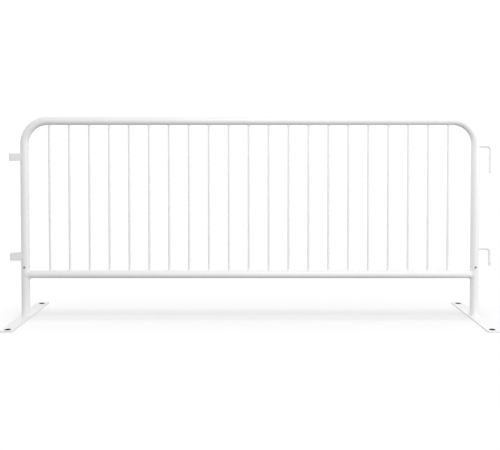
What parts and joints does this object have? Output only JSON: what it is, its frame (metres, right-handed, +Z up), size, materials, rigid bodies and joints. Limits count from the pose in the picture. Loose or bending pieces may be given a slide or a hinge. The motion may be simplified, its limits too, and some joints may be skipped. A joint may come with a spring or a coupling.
{
  "type": "crowd control barrier",
  "caption": "Interlocking steel crowd control barrier: bent tube frame with round pickets on removable flat feet, strap loops at one end and drop hooks at the other, sprung lock buttons.",
  "frame": {"origin": "on the floor, midway between the straps' outer ends and the hooks' outer faces, in the panel's plane", "axes": "+Z up, +X along the panel towards the hooks, -Y towards the front, where the lock buttons are"},
  "size_m": [2.59, 0.61, 1.08],
  "materials": {
    "white_powder_coat": "semi-gloss white powder coat with faint orange peel",
    "zinc_plated_steel": "zinc plated, dull grey",
    "spring_steel": "dark spring steel, lightly oiled"
  },
  "bodies": {
    "barrier": {"frame_tube": "white_powder_coat", "bottom_rail": "white_powder_coat", "picket_01": "white_powder_coat", "picket_02": "white_powder_coat", "picket_03": "white_powder_coat", "picket_04": "white_powder_coat", "picket_05": "white_powder_coat", "picket_06": "white_powder_coat", "picket_07": "white_powder_coat", "picket_08": "white_powder_coat", "picket_09": "white_powder_coat", "picket_10": "white_powder_coat", "picket_11": "white_powder_coat", "picket_12": "white_powder_coat", "picket_13": "white_powder_coat", "picket_14": "white_powder_coat", "picket_15": "white_powder_coat", "picket_16": "white_powder_coat", "picket_17": "white_powder_coat", "picket_18": "white_powder_coat", "picket_19": "white_powder_coat", "picket_20": "white_powder_coat", "picket_21": "white_powder_coat", "upper_strap": "white_powder_coat", "lower_strap": "white_powder_coat", "upper_hook": "white_powder_coat", "lower_hook": "white_powder_coat", "left_foot_plate": "white_powder_coat", "left_leg_tube": "white_powder_coat", "left_spigot": "zinc_plated_steel", "left_clip_spring": "spring_steel", "right_foot_plate": "white_powder_coat", "right_leg_tube": "white_powder_coat", "right_spigot": "zinc_plated_steel", "right_clip_spring": "spring_steel"},
    "left_button": {"left_clip_arm": "spring_steel", "left_lock_button": "spring_steel"},
    "right_button": {"right_clip_arm": "spring_steel", "right_lock_button": "spring_steel"}
  },
  "joints": [
    {"name": "left_button_press", "type": "hinge", "parent": "barrier", "child": "left_button", "pos_m": [-1.215, -0.0171, 0.2106], "axis": [-1, 0, 0], "range_deg": [0, 5.5], "stiffness_Nm_per_rad": 6, "springref_deg": -2.86},
    {"name": "right_button_press", "type": "hinge", "parent": "barrier", "child": "right_button", "pos_m": [1.207, -0.0171, 0.2106], "axis": [-1, 0, 0], "range_deg": [0, 5.5], "stiffness_Nm_per_rad": 6, "springref_deg": -2.86}
  ]
}
